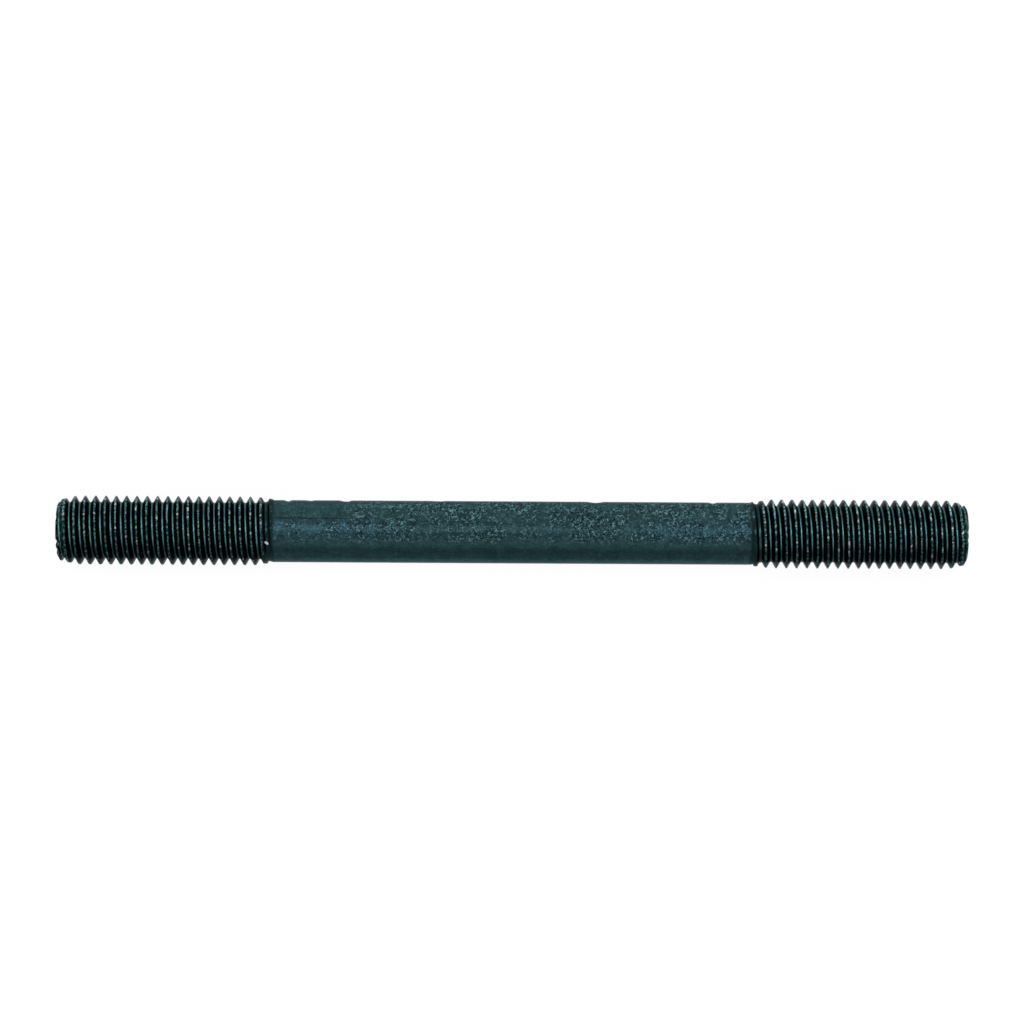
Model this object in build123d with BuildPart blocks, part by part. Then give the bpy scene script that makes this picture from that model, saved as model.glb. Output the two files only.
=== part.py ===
import os
from math import radians, tan

from build123d import *

os.makedirs("parts", exist_ok=True)

# A double end stud, M10 x 1.5 and 132 mm long: one steel rod with a thread rolled on
# each end and a plain shank between them. Millimetres. The axis lies along X, and the
# origin is on the axis, halfway between the two end faces.

# The rod
overall_length = 132.0
major_d = 10.0  # over the crests of both threads
shank_d = 9.0  # the blank's own diameter, about the thread's pitch diameter
left_thread_length = 30.8  # from the end face to the shank, run-out included
right_thread_length = 30.3

# Each end: a small chamfer on the blank, then the lead-in, where rolling leaves the
# first crests low
end_face_d = 8.0
chamfer_length = 0.6
chamfer_angle = 45.0
lead_in_length = 2.6  # from the end face to the first full crest

# The run-out, where the crests come down to the shank
runout_length = 2.0

half_length = overall_length / 2
major_r = major_d / 2
shank_r = shank_d / 2
end_face_r = end_face_d / 2
chamfer_r = end_face_r + chamfer_length * tan(radians(chamfer_angle))


def end_outline(thread_length):
    """One end's outline, each point as its distance from the end face and its radius."""
    return [
        (0, 0),
        (0, end_face_r),
        (chamfer_length, chamfer_r),
        (lead_in_length, major_r),
        (thread_length - runout_length, major_r),
        (thread_length, shank_r),
    ]


# The whole rod is one turned outline: the left end, then the right end back to the axis
with BuildPart() as double_end_stud:
    with BuildSketch(Plane.XZ) as half_section:
        with BuildLine():
            left = [(x - half_length, r) for x, r in end_outline(left_thread_length)]
            right = [(half_length - x, r) for x, r in end_outline(right_thread_length)]
            Polyline(*left, *reversed(right), close=True)
        make_face()
    revolve(axis=Axis.X)

double_end_stud.part.label = "double_end_stud"
export_step(double_end_stud.part, "parts/double_end_stud.step")
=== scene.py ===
# %% [markdown]
# # A double end stud in black oxide
#
# The object is one steel rod, 132 mm long, with an M10 x 1.5 thread rolled on each end
# and a plain shank between them. The CAD model holds its size, so this notebook starts
# by loading that model as a fixed frame. Everything that is made here lies in the same
# frame: metres, the rod's axis along X, and the origin halfway between the end faces.

# %% Load the frame
from math import atan2, degrees, exp, pi, radians, sqrt

import bmesh
import bpy
import numpy as np
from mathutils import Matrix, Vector


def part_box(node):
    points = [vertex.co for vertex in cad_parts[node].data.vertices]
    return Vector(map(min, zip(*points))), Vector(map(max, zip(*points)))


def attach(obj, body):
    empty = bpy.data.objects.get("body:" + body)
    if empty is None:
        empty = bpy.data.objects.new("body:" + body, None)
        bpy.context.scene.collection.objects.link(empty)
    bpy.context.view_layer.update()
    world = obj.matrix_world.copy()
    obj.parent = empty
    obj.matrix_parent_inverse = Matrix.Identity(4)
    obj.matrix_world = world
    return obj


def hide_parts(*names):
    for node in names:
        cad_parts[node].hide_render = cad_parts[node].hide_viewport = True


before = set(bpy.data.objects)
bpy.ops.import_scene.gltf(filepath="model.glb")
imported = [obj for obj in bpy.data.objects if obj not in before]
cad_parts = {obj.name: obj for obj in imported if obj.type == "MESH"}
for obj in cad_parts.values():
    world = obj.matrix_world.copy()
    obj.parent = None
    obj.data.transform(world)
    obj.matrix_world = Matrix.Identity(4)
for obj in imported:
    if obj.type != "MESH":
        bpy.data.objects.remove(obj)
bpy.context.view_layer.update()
low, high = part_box("double_end_stud")
print("the stud's box runs from", list(low), "to", list(high))

# %% [markdown]
# # Sizes
#
# The length and the diameter over the crests are read from the frame. The thread's
# form is the ISO one, where every size is a share of the pitch: the crest's flat is an
# eighth of it wide, the flanks stand at 60 degrees to each other, and the root is round.

# %% The stud's sizes
MM = 0.001
half_length = (high.x - low.x) / 2
crest_radius = (high.y - low.y) / 2
pitch = 1.5 * MM
sharp_height = pitch * sqrt(3) / 2  # of the thread's triangle before it is cut off
crest_half = pitch / 16  # half of the crest's flat
groove_depth = sharp_height * 17 / 24
root_rounding = sharp_height / 6
print("root diameter", round(2 * (crest_radius - groove_depth) / MM, 3), "mm")

# %% [markdown]
# # The outline along the axis
#
# Two curves over the distance from an end face say how the rod changes along its
# length. The crests start low behind the small chamfer, because rolling doesn't fill
# them there, and are full two turns in. At the shank they come down again to a last
# lip, while the groove's root rises to meet them. Each curve is a list of a few
# distances and radii in millimetres, joined by straight lines and read by numpy.

# %% Crest and root radius by distance from an end face
crest_line = [  # mm from the end face, mm from the axis
    (0.0, 3.84), (0.1, 4.02), (0.35, 4.46), (0.95, 4.56), (1.6, 4.74), (2.3, 4.93),
    (3.0, 5.0), (28.4, 5.0), (29.4, 4.9), (30.0, 4.76), (30.9, 4.72), (31.25, 4.6),
    (31.5, 4.52),
]
root_line = [(28.8, 4.08), (29.6, 4.14), (30.2, 4.26), (30.8, 4.4), (31.3, 4.52)]
full_crests = [place for place, radius in crest_line if radius * MM >= crest_radius]


def radius_at(line, distance):
    """The radius that a curve gives at each distance from the end face, in metres."""
    places, radii = np.array(line).T * MM
    return np.interp(distance, places, radii)


print("the crests are full from", full_crests[0], "to", full_crests[-1], "mm from each end")

# %% [markdown]
# # The thread's own section
#
# A thread could be a tube bent into a spring and sunk in the rod, or a displacement
# map, but neither gives a crisp crest against a pale ground. Here the groove's depth is
# one formula. Its input is the number of turns from the nearest crest's middle.

# %% Depth of the groove
def depth_at(turns):
    """Depth below the full crests, in metres, this many turns from a crest's middle."""
    along = np.abs(turns - np.round(turns)) * pitch
    to_root = pitch / 2 - along
    flank = np.maximum(along - crest_half, 0) * sqrt(3)
    bowl = np.sqrt(np.maximum(root_rounding**2 - to_root**2, 0))
    bowl = groove_depth - root_rounding + bowl
    return np.where(to_root < root_rounding * sqrt(3) / 2, bowl, flank)


print("depth at the root", round(float(depth_at(np.array(0.5))) / MM, 3), "mm")

# %% [markdown]
# # A mesh that follows the helix
#
# On a straight grid of rings and columns the crest would cross the rows and come out
# as a staircase. So the grid is wound like the thread: after a full turn each row meets
# the row one pitch further on. Every crest, flank and root then has rows of its own.
# On the shank the same rows are only stretched apart, and the number of turns that
# they take there lets both threads start at the angles that the real stud has.

# %% Rows and columns of the wound grid
COLUMNS = 104
turn_rows = np.array([  # shares of a turn after a crest's middle
    0.0, 0.05, 0.078, 0.16, 0.27, 0.37, 0.42, 0.465,
    0.5, 0.535, 0.58, 0.63, 0.73, 0.84, 0.922, 0.95,
])
left_crest = 0.609  # turns from the left end face to a crest, on the +Y side
right_crest = 0.8825  # the same, from the right end face
last_crest = 53  # crests are counted from 0 at the left, the stretched turns too
joint = 31.9 * MM  # from an end face to where the grid starts to stretch
left_joint = joint / pitch - left_crest
right_joint = last_crest + right_crest - joint / pitch


def along_axis(turn):
    """Place along X of each grid point, from its count of turns."""
    left = (left_crest + turn) * pitch - half_length
    right = half_length - (right_crest + last_crest - turn) * pitch
    share = np.clip((turn - left_joint) / (right_joint - left_joint), 0, 1)
    eased = share**2 * (3 - 2 * share)
    return left + (right - left) * eased


print("the shank takes", round(right_joint - left_joint, 2), "turns of the grid")

# %% [markdown]
# # Dents
#
# The shank's upper side was knocked against something hard in several places, and both
# rims are a little ragged. Each dent is a small smooth hollow, pressed straight in. It
# has a place along the axis, an angle round it, a length, a width and a depth, and the
# grid's points sink by it. The angle is 0 towards +Y and 90 degrees on top.

# %% Hollows pressed into the surface
dents = [  # mm from the middle, degrees, mm long, degrees wide, mm deep
    (-32.6, 2, 0.3, 12, 0.3), (-29.4, 4, 0.26, 10, 0.24), (-24.2, -2, 0.45, 14, 0.34),
    (-10.8, 0, 0.35, 10, 0.18), (11.6, 2, 0.35, 10, 0.2), (12.5, 2, 0.4, 12, 0.32),
    (29.2, 0, 0.35, 10, 0.24),
]


def dented(x, angle):
    """How far the dents sink each point, in metres."""
    total = np.zeros_like(x)
    for place, turned, length, width, depth in dents:
        along = (x / MM - place) / length
        around = ((np.degrees(angle) - turned + 180) % 360 - 180) / width
        total += depth * MM * np.exp(-(along**2) - around**2)
    return total


def ragged(x, angle, seed):
    """A smooth uneven value from -1 to 1 over the surface, the same on each run."""
    waves = np.random.default_rng(seed).uniform(0.3, 1.0, (9, 3))
    total = np.zeros_like(x)
    for number, (fine, around, start) in enumerate(waves):
        along = x / MM * fine * (2 + number)
        whole_turns = np.round(around * (6 + 7 * number))
        total += np.sin(along + whole_turns * angle + start * 40)
    return total / len(waves)


print(len(dents), "dents, the deepest", max(d[4] for d in dents), "mm")

# %% [markdown]
# # Winding the grid
#
# Every point has a row and a column. The column sets its angle, and the row and the
# angle together set its place along the axis. Its radius is the thread's section, cut
# off by the crest curve and filled up by the root curve, less the dents. The crests are
# uneven by a hundredth of a millimetre, and by more at the sheared rims.

# %% Points of the grid
spare_turns = 2  # past each end face, where they are cut off later
turns = range(-spare_turns, last_crest + spare_turns)
rows = np.concatenate([turn_rows + turn for turn in turns])
angle = np.arange(COLUMNS) * 2 * pi / COLUMNS
row_turn, column_angle = np.meshgrid(rows, angle, indexing="ij")
x = along_axis(row_turn + column_angle / (2 * pi))
from_end = half_length - np.abs(x)
uneven = ragged(x, column_angle, seed=4)
from_rim = (from_end / MM - 0.6) / 0.7
roughness = (0.012 + 0.035 * np.exp(-(from_rim**2))) * MM
crest = radius_at(crest_line, from_end) + roughness * uneven
thread = crest_radius - depth_at(row_turn)
form = 1 - depth_at(row_turn) / groove_depth  # 1 on the crests and 0 in the roots
radius = np.minimum(np.maximum(thread, radius_at(root_line, from_end)), crest)
radius = np.minimum(radius - dented(x, column_angle), crest_radius)
around = [radius * np.cos(column_angle), radius * np.sin(column_angle)]
points = np.stack([x, *around], -1)
print(points.shape[0], "rows of", points.shape[1], "points")

# %% [markdown]
# # From points to faces
#
# Four neighbouring points make a face. The neighbour of a row's last column is the first
# column of the next turn, and that is what winds the grid. Each point also keeps its
# height in the thread's form, so that the finish can tell crest, flank and root apart
# even where the crests are low.

# %% Faces of the wound grid
def wound_mesh(grid, heights, rows_a_turn):
    """A bmesh of the grid, where each row's end meets the row a turn further on."""
    made = bmesh.new()
    layer = made.verts.layers.float.new("form")
    verts = [made.verts.new(point) for point in grid.reshape(-1, 3)]
    for vert, height in zip(verts, heights.reshape(-1)):
        vert[layer] = height
    count_rows, columns = grid.shape[:2]

    def at(row, column):
        turned = row + rows_a_turn * (column // columns)
        return verts[turned * columns + column % columns]

    for row in range(count_rows - 1 - rows_a_turn):
        for column in range(columns):
            near = [at(row, column), at(row, column + 1)]
            far = [at(row + 1, column + 1), at(row + 1, column)]
            made.faces.new(near + far)
    return made


print("each turn of the grid has", len(turn_rows), "rows of", COLUMNS, "faces")

# %% [markdown]
# # End faces
#
# The grid runs past both end faces. Two plane cuts trim it there. One flat face would
# close each opening, but it would shine evenly, and a sheared bar's end is a little
# dished and raised. So it is closed by rings of faces that shrink towards the axis.

# %% Cut off and close an end
# Rings of the end faces: share of the rim's size, mm below the rim's plane
face_rings = [(0.96, 0.0), (0.9, 0.03), (0.62, 0.05), (0.3, 0.02), (0.1, 0.04)]


def close_end(made, side):
    """Trims the mesh at one end face and closes it with rings of faces."""
    everything = [*made.verts, *made.edges, *made.faces]
    bmesh.ops.bisect_plane(
        made, geom=everything, dist=1e-7, plane_co=(side * half_length, 0, 0),
        plane_no=(side, 0, 0), clear_outer=True,
    )
    edges = [e for e in made.edges if e.is_boundary and side * e.verts[0].co.x > 0]
    last = 1.0
    for share, sink in face_rings:
        grown = bmesh.ops.extrude_edge_only(made, edges=edges)["geom"]
        edges = [e for e in grown if isinstance(e, bmesh.types.BMEdge) and e.is_boundary]
        for vert in {v for e in edges for v in e.verts}:
            vert.co.y *= share / last
            vert.co.z *= share / last
            vert.co.x = side * (half_length - sink * MM)
        last = share
    bmesh.ops.holes_fill(made, edges=edges, sides=0)


print(len(face_rings), "rings close each end")

# %% [markdown]
# # Chips in the rims
#
# The rims take the first knock when a stud is dropped. Each chip is a soft dip that is
# deepest on the rim and has run out about a millimetre further in. Cutting the chips out
# as solids would leave loose slivers, so the points are only moved along the axis.

# %% Chip the rims
chips = [  # side, degrees round, degrees wide, mm deep
    (-1, 117, 3.6, 0.5), (-1, 139, 6, 0.16), (-1, 62, 5, 0.08),
    (1, 84, 7, 0.08), (1, 101, 5, 0.12),
]
chip_reach = 1.2  # mm from the end face, beyond which no point moves
chip_slope = 0.6  # mm from the end face over which a chip runs out
rim_radius = 3.8 * MM  # inside it the end face keeps flat


def chip_rims(made):
    """Moves the rims' points inwards along the axis at each chip."""
    for vert in made.verts:
        side = 1 if vert.co.x > 0 else -1
        inset = (half_length - abs(vert.co.x)) / MM
        if inset > chip_reach:
            continue
        turned = degrees(atan2(vert.co.z, vert.co.y))
        outside = min(1.0, Vector((vert.co.y, vert.co.z)).length / rim_radius) ** 12
        for chip_side, place, wide, deep in chips:
            if chip_side == side:
                share = exp(-(((turned - place) / wide) ** 2) - (inset / chip_slope) ** 2)
                vert.co.x -= side * deep * MM * share * outside


print(len(chips), "chips, the deepest", max(chip[3] for chip in chips), "mm")

# %% [markdown]
# # The stud in one piece
#
# Now the steps are carried out. Points that no face uses are dropped, and only edges
# sharper than 50 degrees stay crisp, since a rolled thread has no hard corners.

# %% Wind, close and chip the stud
made = wound_mesh(points, form, len(turn_rows))
for side in (-1, 1):
    close_end(made, side)
chip_rims(made)
loose = [v for v in made.verts if not v.link_faces]
bmesh.ops.delete(made, geom=loose, context="VERTS")
bmesh.ops.triangulate(made, faces=[f for f in made.faces if len(f.verts) > 4])
bmesh.ops.recalc_face_normals(made, faces=made.faces)
open_edges = sum(e.is_boundary for e in made.edges)
for face in made.faces:
    face.smooth = True
mesh = bpy.data.meshes.new("stud_surface")
made.to_mesh(mesh)
made.free()
mesh.set_sharp_from_angle(angle=radians(50))
stud = bpy.data.objects.new("stud", mesh)
bpy.context.scene.collection.objects.link(stud)
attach(stud, "root")
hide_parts("double_end_stud")
triangles = sum(len(p.vertices) - 2 for p in mesh.polygons)
print(triangles, "triangles,", open_edges, "open edges")

# %% [markdown]
# # Shader maths in plain Python
#
# A finish is built from masks, and masks are arithmetic. The small class below wraps a
# socket, so that 1 - mask or mask * 0.3 adds the Math node that it stands for. Any
# other node comes from the tree's one method, which takes the node's type, its
# settings and what its sockets get.

# %% A socket that can be calculated with
class Value:
    """A socket of a material's tree, with the arithmetic that the finishes use."""

    def __init__(self, tree, socket):
        self.tree = tree
        self.socket = socket

    def math(self, operation, *others, clamp=False):
        inputs = dict(enumerate((self, *others)))
        settings = {"operation": operation, "use_clamp": clamp}
        return self.tree.node("ShaderNodeMath", settings, inputs)

    def __add__(self, other):
        return self.math("ADD", other)

    def __mul__(self, other):
        return self.math("MULTIPLY", other)

    def __sub__(self, other):
        return self.math("SUBTRACT", other)

    def __rsub__(self, other):
        settings = {"operation": "SUBTRACT"}
        return self.tree.node("ShaderNodeMath", settings, {0: other, 1: self})

    __radd__ = __add__
    __rmul__ = __mul__

    def step(self, start, end):
        """0 before start and 1 after end, with a smooth rise between."""
        settings = {"interpolation_type": "SMOOTHSTEP"}
        inputs = {"Value": self, "From Min": start, "From Max": end}
        return self.tree.node("ShaderNodeMapRange", settings, inputs)


class Tree:
    """The node tree of a material or of the world."""

    def __init__(self, owner):
        owner.use_nodes = True
        self.nodes = owner.node_tree.nodes
        self.links = owner.node_tree.links
        self.nodes.clear()

    def node(self, kind, settings=None, inputs=None, output=0):
        """Adds a node: its settings first, then each socket's value or link."""
        made = self.nodes.new(kind)
        for name, value in (settings or {}).items():
            setattr(made, name, value)
        for name, value in (inputs or {}).items():
            if isinstance(value, Value):
                self.links.new(value.socket, made.inputs[name])
            else:
                made.inputs[name].default_value = value
        return Value(self, made.outputs[output]) if made.outputs else None

    def mix(self, factor, first, second):
        """A colour between two colours."""
        inputs = {0: factor, 6: first, 7: second}
        return self.node("ShaderNodeMix", {"data_type": "RGBA"}, inputs, output=2)


print("a sum of sockets adds its own nodes")

# %% [markdown]
# # Black oxide on rolled steel
#
# Black oxide is a thin dark skin that the steel grows in a hot bath, here with a
# blue-green cast. It is only part matt: it still reflects the room like dark metal. The
# shank keeps the drawn bar's grain, small pits, paler flecks in patches and one fine
# seam, and its pits and flecks are partly painted shade and painted glints on the lit
# side. Where the crests have rubbed against other studs the skin is thin, so they carry a
# broken line of pale specks and a few white glints, partly that wear and partly painted
# highlight. The roots, burnished by the rolling dies, are even and paler too, with a
# painted highlight along the lit band. The flanks between them are painted nearly black,
# as painted shade in the grooves. A flat dark colour would lose all of that.

# %% Colours of the finish
def rgb(red, green, blue):
    """A colour from 0 to 1 in linear light, as a socket takes it."""
    return (red, green, blue, 1.0)


skin_dark, skin_light = rgb(0.017, 0.043, 0.049), rgb(0.039, 0.098, 0.109)
# Bluer oxide painted along the lit band: partly the oxide's cast, partly painted highlight.
skin_blue_highlight = rgb(0.05, 0.125, 0.165)
# Pit and fleck colours: partly the bar's own, partly painted shade and painted glints.
pit_dark_shade = rgb(0.006, 0.016, 0.018)
fleck_glint_green, fleck_glint_blue = rgb(0.22, 0.44, 0.48), rgb(0.21, 0.42, 0.56)
seam_dark = rgb(0.006, 0.015, 0.017)
# Painted shade for the flanks: darker in the full thread than in the run-out.
groove_shade_runout, groove_shade_full = rgb(0.013, 0.034, 0.038), rgb(0.004, 0.01, 0.011)
root_dark, root_light = rgb(0.05, 0.135, 0.147), rgb(0.1, 0.25, 0.27)
# Roots along the lit band: painted highlight.
root_highlight = rgb(0.19, 0.5, 0.54)
# Crest colours: the beads are partly worn skin and partly painted highlight, and the white
# is a painted glint.
crest_dull, crest_bead_highlight = rgb(0.03, 0.08, 0.09), rgb(0.25, 0.55, 0.58)
crest_glint_white, bare_chip = rgb(0.92, 0.96, 0.93), rgb(0.95, 0.97, 0.93)
print("the skin runs from", skin_dark[:3], "to", skin_light[:3])

# %% [markdown]
# # Places on the stud
#
# Wear sits where a part rubs or is knocked, so most masks start from a place. This
# material's tree gives each point's place in millimetres from the stud's middle, its
# height in the thread's form, and noise whose size is in millimetres too. The places are
# object coordinates and not a UV map, so the grain runs on over every edge.

# %% The tree with the stud's places
class StudTree(Tree):
    """A material's tree that knows where on the stud it is."""

    def __init__(self, material):
        super().__init__(material)
        self.place = self.node("ShaderNodeTexCoord", output=3)
        apart = self.node("ShaderNodeSeparateXYZ", inputs={0: self.place})
        sockets = apart.socket.node.outputs
        self.x, self.y, self.z = [Value(self, socket) * (1 / MM) for socket in sockets]
        self.from_middle = self.x.math("ABSOLUTE")
        settings = {"attribute_name": "form"}
        self.height = self.node("ShaderNodeAttribute", settings, output=2)
        self.grain = self.noise(0.2, 3.0, 0.6)
        self.mottle = self.noise(1.4, 3.0)

    def noise(self, size, detail=2.0, rough=0.5):
        """Noise with features of about this many millimetres."""
        inputs = {"Vector": self.place, "Scale": 1 / (size * MM)}
        inputs |= {"Detail": detail, "Roughness": rough}
        return self.node("ShaderNodeTexNoise", None, inputs)


print("places run from", -half_length / MM, "to", half_length / MM, "mm")

# %% [markdown]
# # The drawn bar
#
# The shank is the bar as it was drawn and blackened: grain, small dark pits and paler
# flecks in patches. The patches lie mostly on the +Y side, where the lamps fall, so the
# pits and flecks there are partly the bar's own marks and partly painted shade and
# painted glints. The flecks are short curls. Voronoi cells would give dots, but a noise
# gives curls where it passes through its middle value. There are fewer of them on the +Y
# side of the fine seam, which wanders a little along the shank's left end. Near both ends
# a bluer tint is painted along the lit band, partly the oxide's cast and partly painted
# highlight.

# %% Colour and relief of the bar
def drawn_bar(stud_tree):
    """The bar's colour, and how far its surface stands out."""
    x, y, z = stud_tree.x, stud_tree.y, stud_tree.z
    grain, mottle = stud_tree.grain, stud_tree.mottle
    noise, mix = stud_tree.noise, stud_tree.mix
    tone = grain.step(0.25, 0.75) * 0.6 + mottle.step(0.3, 0.7) * 0.4
    # Near both ends, a bluer tint painted along the lit band: partly the oxide's cast,
    # partly painted highlight.
    pale = stud_tree.from_middle.step(13, 24)
    pale = pale * y.step(-1.4, -0.2) * (1 - y.step(1.0, 2.2))
    colour = mix(tone, skin_dark, skin_light)
    colour = mix(pale * mottle.step(0.3, 0.6) * 0.35, colour, skin_blue_highlight)

    quiet = (1 - x.step(-25, -21)) * y.step(0.8, 1.6) * 0.75
    # Pits and flecks lie mostly on the +Y side, where the lamps fall: partly the bar's own
    # marks, partly painted glints and painted shade.
    lit_side_patches = noise(3.0, 2.0).step(0.36, 0.56) * 0.7 + 0.3
    lit_side_patches = (lit_side_patches * (y.step(-2.2, -0.5) - quiet)).math("MAXIMUM", 0.1)
    curls = 1 - (noise(0.44, 2.0, 0.55) - 0.5).math("ABSOLUTE").step(0.01, 0.055)
    flecks = curls * noise(0.5, 1.0).step(0.46, 0.56)
    pits = noise(0.3, 2.0, 0.6).step(0.5, 0.6)
    colour = mix(pits * lit_side_patches * 0.9, colour, pit_dark_shade)
    colour = mix(flecks * lit_side_patches * 0.85, colour, mix(pale, fleck_glint_green, fleck_glint_blue))

    wander = (mottle - 0.5) * 0.4
    seam = 1 - (y + wander - 1.9).math("ABSOLUTE").step(0.03, 0.12)
    seam = seam * z.step(3.0, 3.5) * (1 - x.step(-25, -22))
    colour = mix(seam * 0.7, colour, seam_dark)
    return colour, grain * 0.5 + (flecks - pits) * lit_side_patches


print("the seam lies 1.9 mm to the +Y side")

# %% [markdown]
# # The threads' colours
#
# The height in the thread's form tells root, flank and crest apart. The low crests at
# both ends are hardly worn, and the left thread less than the right. Roots and crests
# are painted darker towards the -Y side of the thread, as painted shade.

# %% Roots, flanks and crests
def rolled_thread(stud_tree):
    """The threads' colours, and where painted glints sit on the crests."""
    x, y, z = stud_tree.x, stud_tree.y, stud_tree.z
    from_middle, height = stud_tree.from_middle, stud_tree.height
    noise, mix = stud_tree.noise, stud_tree.mix
    wear_and_side_shade = from_middle.step(35.2, 37.0) * 0.8 + noise(1.1).step(0.5, 0.6) * 0.2
    wear_and_side_shade = wear_and_side_shade * (1 - from_middle.step(65.4, 65.8) * 0.8)
    # Painted shade: roots and crests grow darker towards the -Y side.
    wear_and_side_shade = wear_and_side_shade * (y.step(-4.2, 1.0) * 0.7 + 0.3)

    # Painted highlight: roots are brighter along the lit band on the upper side.
    upper = y.step(-3.0, -1.2) * (1 - y.step(0.8, 2.6)) * z.step(0, 2)
    roots = (1 - height.step(0.015, 0.1)) * wear_and_side_shade
    burnished_and_lit = mix(stud_tree.mottle, root_dark, root_light)
    burnished_and_lit = mix(upper, burnished_and_lit, root_highlight)
    # The flanks are painted nearly black, as painted shade in the grooves; the run-out less
    # so.
    colour = mix(from_middle.step(35.2, 36.6), groove_shade_runout, groove_shade_full)
    colour = mix(roots, colour, burnished_and_lit)

    crests = height.step(0.84, 0.97) * wear_and_side_shade
    # Beads and glints are partly worn skin and partly painted highlights; the glints are
    # painted white.
    bead_highlights = noise(0.34, 2.0, 0.7).step(0.46, 0.6)
    glints = noise(0.7, 1.0).step(0.64, 0.68)
    worn_and_glinting = mix(bead_highlights, crest_dull, crest_bead_highlight)
    worn_and_glinting = mix(glints, worn_and_glinting, crest_glint_white)
    colour = mix(crests * (x.step(-1, 1) * 0.2 + 0.8), colour, worn_and_glinting)
    # The last two millimetres at each end get specks of the same colour, partly wear and
    # partly painted highlight.
    ends = from_middle.step(64.3, 65.0)
    colour = mix(ends * noise(0.5, 2.0, 0.6).step(0.5, 0.6) * 0.45, colour, worn_and_glinting)
    return colour, glints * crests


print("the threads' colours follow", repr("form"), "from 0 in the roots to 1")

# %% [markdown]
# # One bare chip
#
# In the left run-out the skin is knocked off down to bright steel. The chip is a
# slanting oval, and the sum of two squares is enough for one.

# %% Where the chip is
def chip_mask(stud_tree):
    """1 inside the chip on the upper side, and 0 elsewhere."""
    chip_x, chip_y = stud_tree.x + 35.45, stud_tree.y + 1.71
    slant_cos, slant_sin = 0.78, 0.62
    half_long, half_wide = 0.32, 0.17
    along = chip_x * slant_cos - chip_y * slant_sin
    aside = chip_x * slant_sin + chip_y * slant_cos
    oval = along * along * (1 / half_long**2) + aside * aside * (1 / half_wide**2)
    return (1 - oval.step(0.6, 1.4)) * stud_tree.z.step(2.0, 3.0)


print("the bare chip is 0.64 by 0.34 mm")

# %% [markdown]
# # The layers in one material
#
# The threads go over the bar and the chip over both. Oxide is a dark metal to the light.
# The bare chip is rough and looks pale from every side, and so do the painted glints on
# the crests, so both are made less metallic.
# A light bump gives pits and flecks an edge that catches the light.

# %% The finish
def black_oxide():
    """Blue-green oxide, pitted on the shank, with wear, painted highlights and painted
    shade.
    """
    material = bpy.data.materials.new("black_oxide_steel")
    stud_tree = StudTree(material)
    colour, relief = drawn_bar(stud_tree)
    thread_colour, glints = rolled_thread(stud_tree)
    threads = stud_tree.from_middle.step(34.25, 34.75)
    bare = chip_mask(stud_tree)
    colour = stud_tree.mix(threads, colour, thread_colour)
    colour = stud_tree.mix(bare, colour, bare_chip)
    metal = 1 - bare.math("MAXIMUM", glints * threads * 0.7)
    bump = stud_tree.node("ShaderNodeBump", None, {
        "Height": relief, "Strength": 0.8, "Distance": 0.03 * MM,
    })
    surface = stud_tree.node("ShaderNodeBsdfPrincipled", None, {
        "Base Color": colour, "Metallic": metal, "Roughness": 0.3, "Normal": bump,
        "Specular Tint": rgb(0.5, 0.5, 0.5),
    })
    stud_tree.node("ShaderNodeOutputMaterial", None, {"Surface": surface})
    return material


mesh.materials.append(black_oxide())
print("finish on", stud.name)

# %% [markdown]
# # Floor
#
# Small parts are shown on white. A floor that is lit until it looks white would throw
# too much light back on the stud. So it glows only for the camera and for reflections,
# is plain pale grey for all other rays, and still keeps a faint shadow.

# %% Floor
white_light = rgb(1, 1, 1)


def seen_rays(tree, *kinds):
    """1 for rays of these kinds, and 0 for all others."""
    outputs = tree.node("ShaderNodeLightPath").socket.node.outputs
    total = Value(tree, outputs[kinds[0]])
    for kind in kinds[1:]:
        total = total.math("ADD", Value(tree, outputs[kind]), clamp=True)
    return total


def pale_floor():
    """White to look at, and a plain pale grey for the light that it scatters."""
    material = bpy.data.materials.new("pale_floor")
    tree = Tree(material)
    shown = seen_rays(tree, "Is Camera Ray", "Is Glossy Ray", "Is Transmission Ray")
    plain = tree.node("ShaderNodeBsdfDiffuse", None, {"Color": rgb(0.8, 0.8, 0.8)})
    shade = tree.node("ShaderNodeBsdfDiffuse", None, {"Color": rgb(0.15, 0.15, 0.15)})
    glow = tree.node("ShaderNodeEmission", None, {"Color": white_light, "Strength": 0.93})
    white = tree.node("ShaderNodeAddShader", None, {0: shade, 1: glow})
    both = tree.node("ShaderNodeMixShader", None, {0: shown, 1: plain, 2: white})
    tree.node("ShaderNodeOutputMaterial", None, {"Surface": both})
    return material


def level_sheet(name, side_reach, front, back, height, material):
    """One level rectangle, in metres, as wide to the left as to the right."""
    left, right = -side_reach, side_reach
    corners = [(left, front), (right, front), (right, back), (left, back)]
    sheet_mesh = bpy.data.meshes.new(name)
    sheet_mesh.from_pydata([(*corner, height) for corner in corners], [], [(0, 1, 2, 3)])
    sheet_mesh.materials.append(material)
    sheet = bpy.data.objects.new(name, sheet_mesh)
    bpy.context.scene.collection.objects.link(sheet)
    return sheet


floor_reach = 3.0
floor = level_sheet("floor", floor_reach, -floor_reach, floor_reach, low.z, pale_floor())
print("floor at", round(low.z / MM, 2), "mm")

# %% [markdown]
# # A grey card
#
# A smooth dark rod shows its surroundings, and a card just out of view can darken one
# side of it. Here a grey card lies on the floor in front of the stud, and the shank's
# lower side reflects it as a darker band.

# %% Grey card, which the camera and the shadows leave out
def grey_card():
    """A plain matt grey."""
    material = bpy.data.materials.new("grey_card")
    tree = Tree(material)
    grey = tree.node("ShaderNodeBsdfDiffuse", None, {"Color": rgb(0.75, 0.75, 0.75)})
    tree.node("ShaderNodeOutputMaterial", None, {"Surface": grey})
    return material


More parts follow.
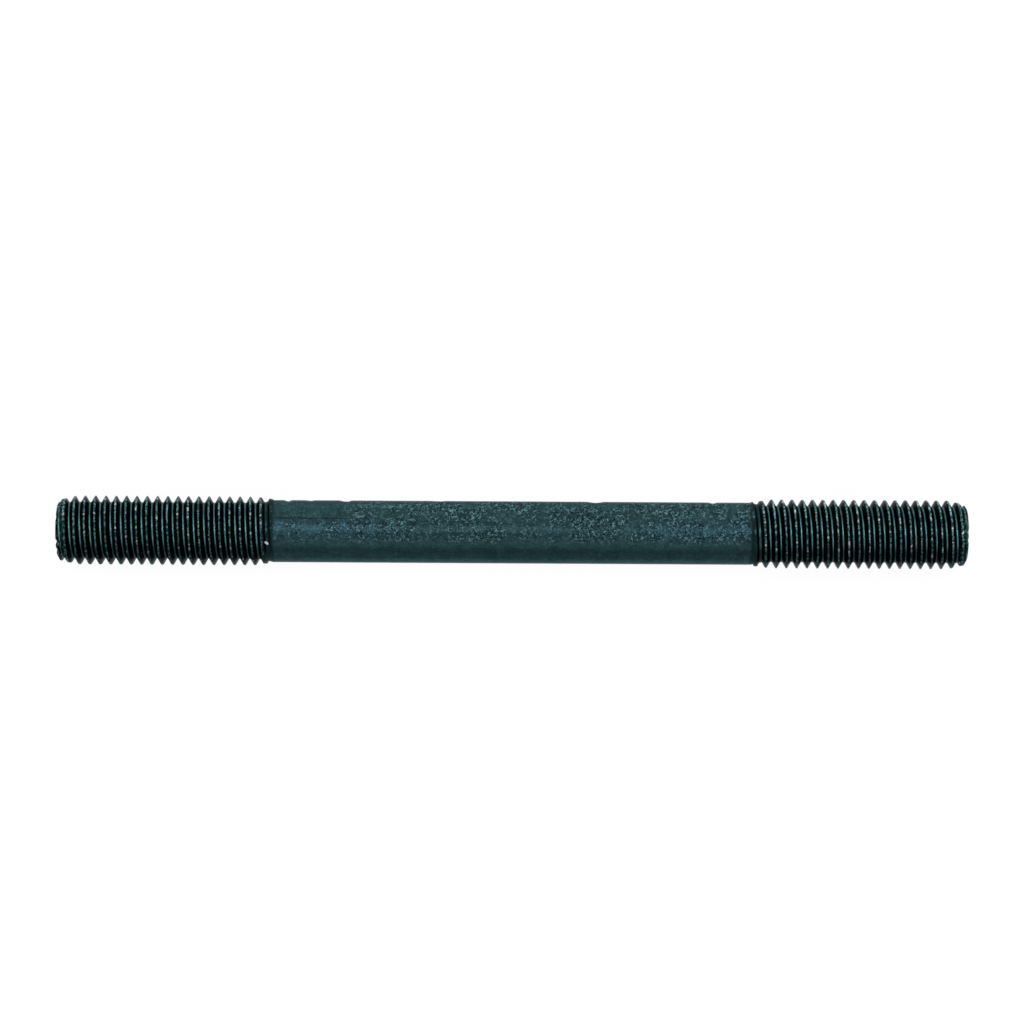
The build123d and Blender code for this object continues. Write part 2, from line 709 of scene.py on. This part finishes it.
card_back = -16 * MM
card_height = low.z + 0.2 * MM  # just clear of the floor
card = level_sheet("card", 600 * MM, -500 * MM, card_back, card_height, grey_card())
card.visible_camera = False
card.visible_shadow = False
card.visible_diffuse = False
print("card from", round(card_back / MM), "mm forwards")

# %% [markdown]
# # Light
#
# Dark metal is drawn by what it reflects more than by what falls on it. One long soft
# lamp, a little towards the upper edge, gives the pale band along the shank. A broad one
# behind it and a weaker one in front fill both sides. Along the axis there is only the
# dim room, which keeps the chamfers and flanks dark. The room is white for the camera
# alone, so the picture's ground is white and the stud doesn't get more light from it.

# %% World and lamps
def studio():
    """A dim even room, white where the camera looks straight at it."""
    world = bpy.data.worlds.new("studio")
    tree = Tree(world)
    dim = tree.node("ShaderNodeBackground", None, {"Color": white_light, "Strength": 0.33})
    white = tree.node("ShaderNodeBackground", None, {"Color": white_light, "Strength": 1.0})
    shown = seen_rays(tree, "Is Camera Ray")
    both = tree.node("ShaderNodeMixShader", None, {0: shown, 1: dim, 2: white})
    tree.node("ShaderNodeOutputWorld", None, {"Surface": both})
    return world


def soft_lamp(name, place, wide, deep, power):
    """A rectangular lamp that faces the stud's middle."""
    lamp = bpy.data.lights.new(name, "AREA")
    lamp.shape = "RECTANGLE"
    lamp.size = wide
    lamp.size_y = deep
    lamp.energy = power
    holder = bpy.data.objects.new(name, lamp)
    holder.location = place
    holder.rotation_euler = (-Vector(place)).to_track_quat("-Z", "Y").to_euler()
    bpy.context.scene.collection.objects.link(holder)


bpy.context.scene.world = studio()
soft_lamp("top_lamp", (0.0, 0.18, 0.88), 1.2, 0.22, 1.5)
soft_lamp("rear_lamp", (0.0, 0.78, 0.45), 1.2, 0.8, 1.6)
soft_lamp("front_lamp", (0.0, -0.55, 0.7), 1.2, 0.7, 1.0)
print("three lamps and a dim room")

# %% [markdown]
# # Camera
#
# The camera looks straight down from about half a metre, turned by a third of a degree
# against the rod. From so near, the thread's near side bulges outwards at both ends.

# %% Camera
distance = 523.81 * MM
picture_width = 148.995 * MM  # what the camera sees across, at the rod's axis
aim = (-0.03 * MM, 2.97 * MM)  # the point that it looks down on
camera_data = bpy.data.cameras.new("camera")
camera_data.sensor_width = 36.0
camera_data.lens = camera_data.sensor_width * distance / picture_width
camera_data.clip_start = 0.01
camera = bpy.data.objects.new("camera", camera_data)
camera.location = (*aim, distance)
camera.rotation_euler = (0, 0, radians(0.33))
bpy.context.scene.collection.objects.link(camera)
bpy.context.scene.camera = camera
bpy.context.scene.view_settings.view_transform = "Standard"
print("camera at", round(camera.location.z / MM), "mm")
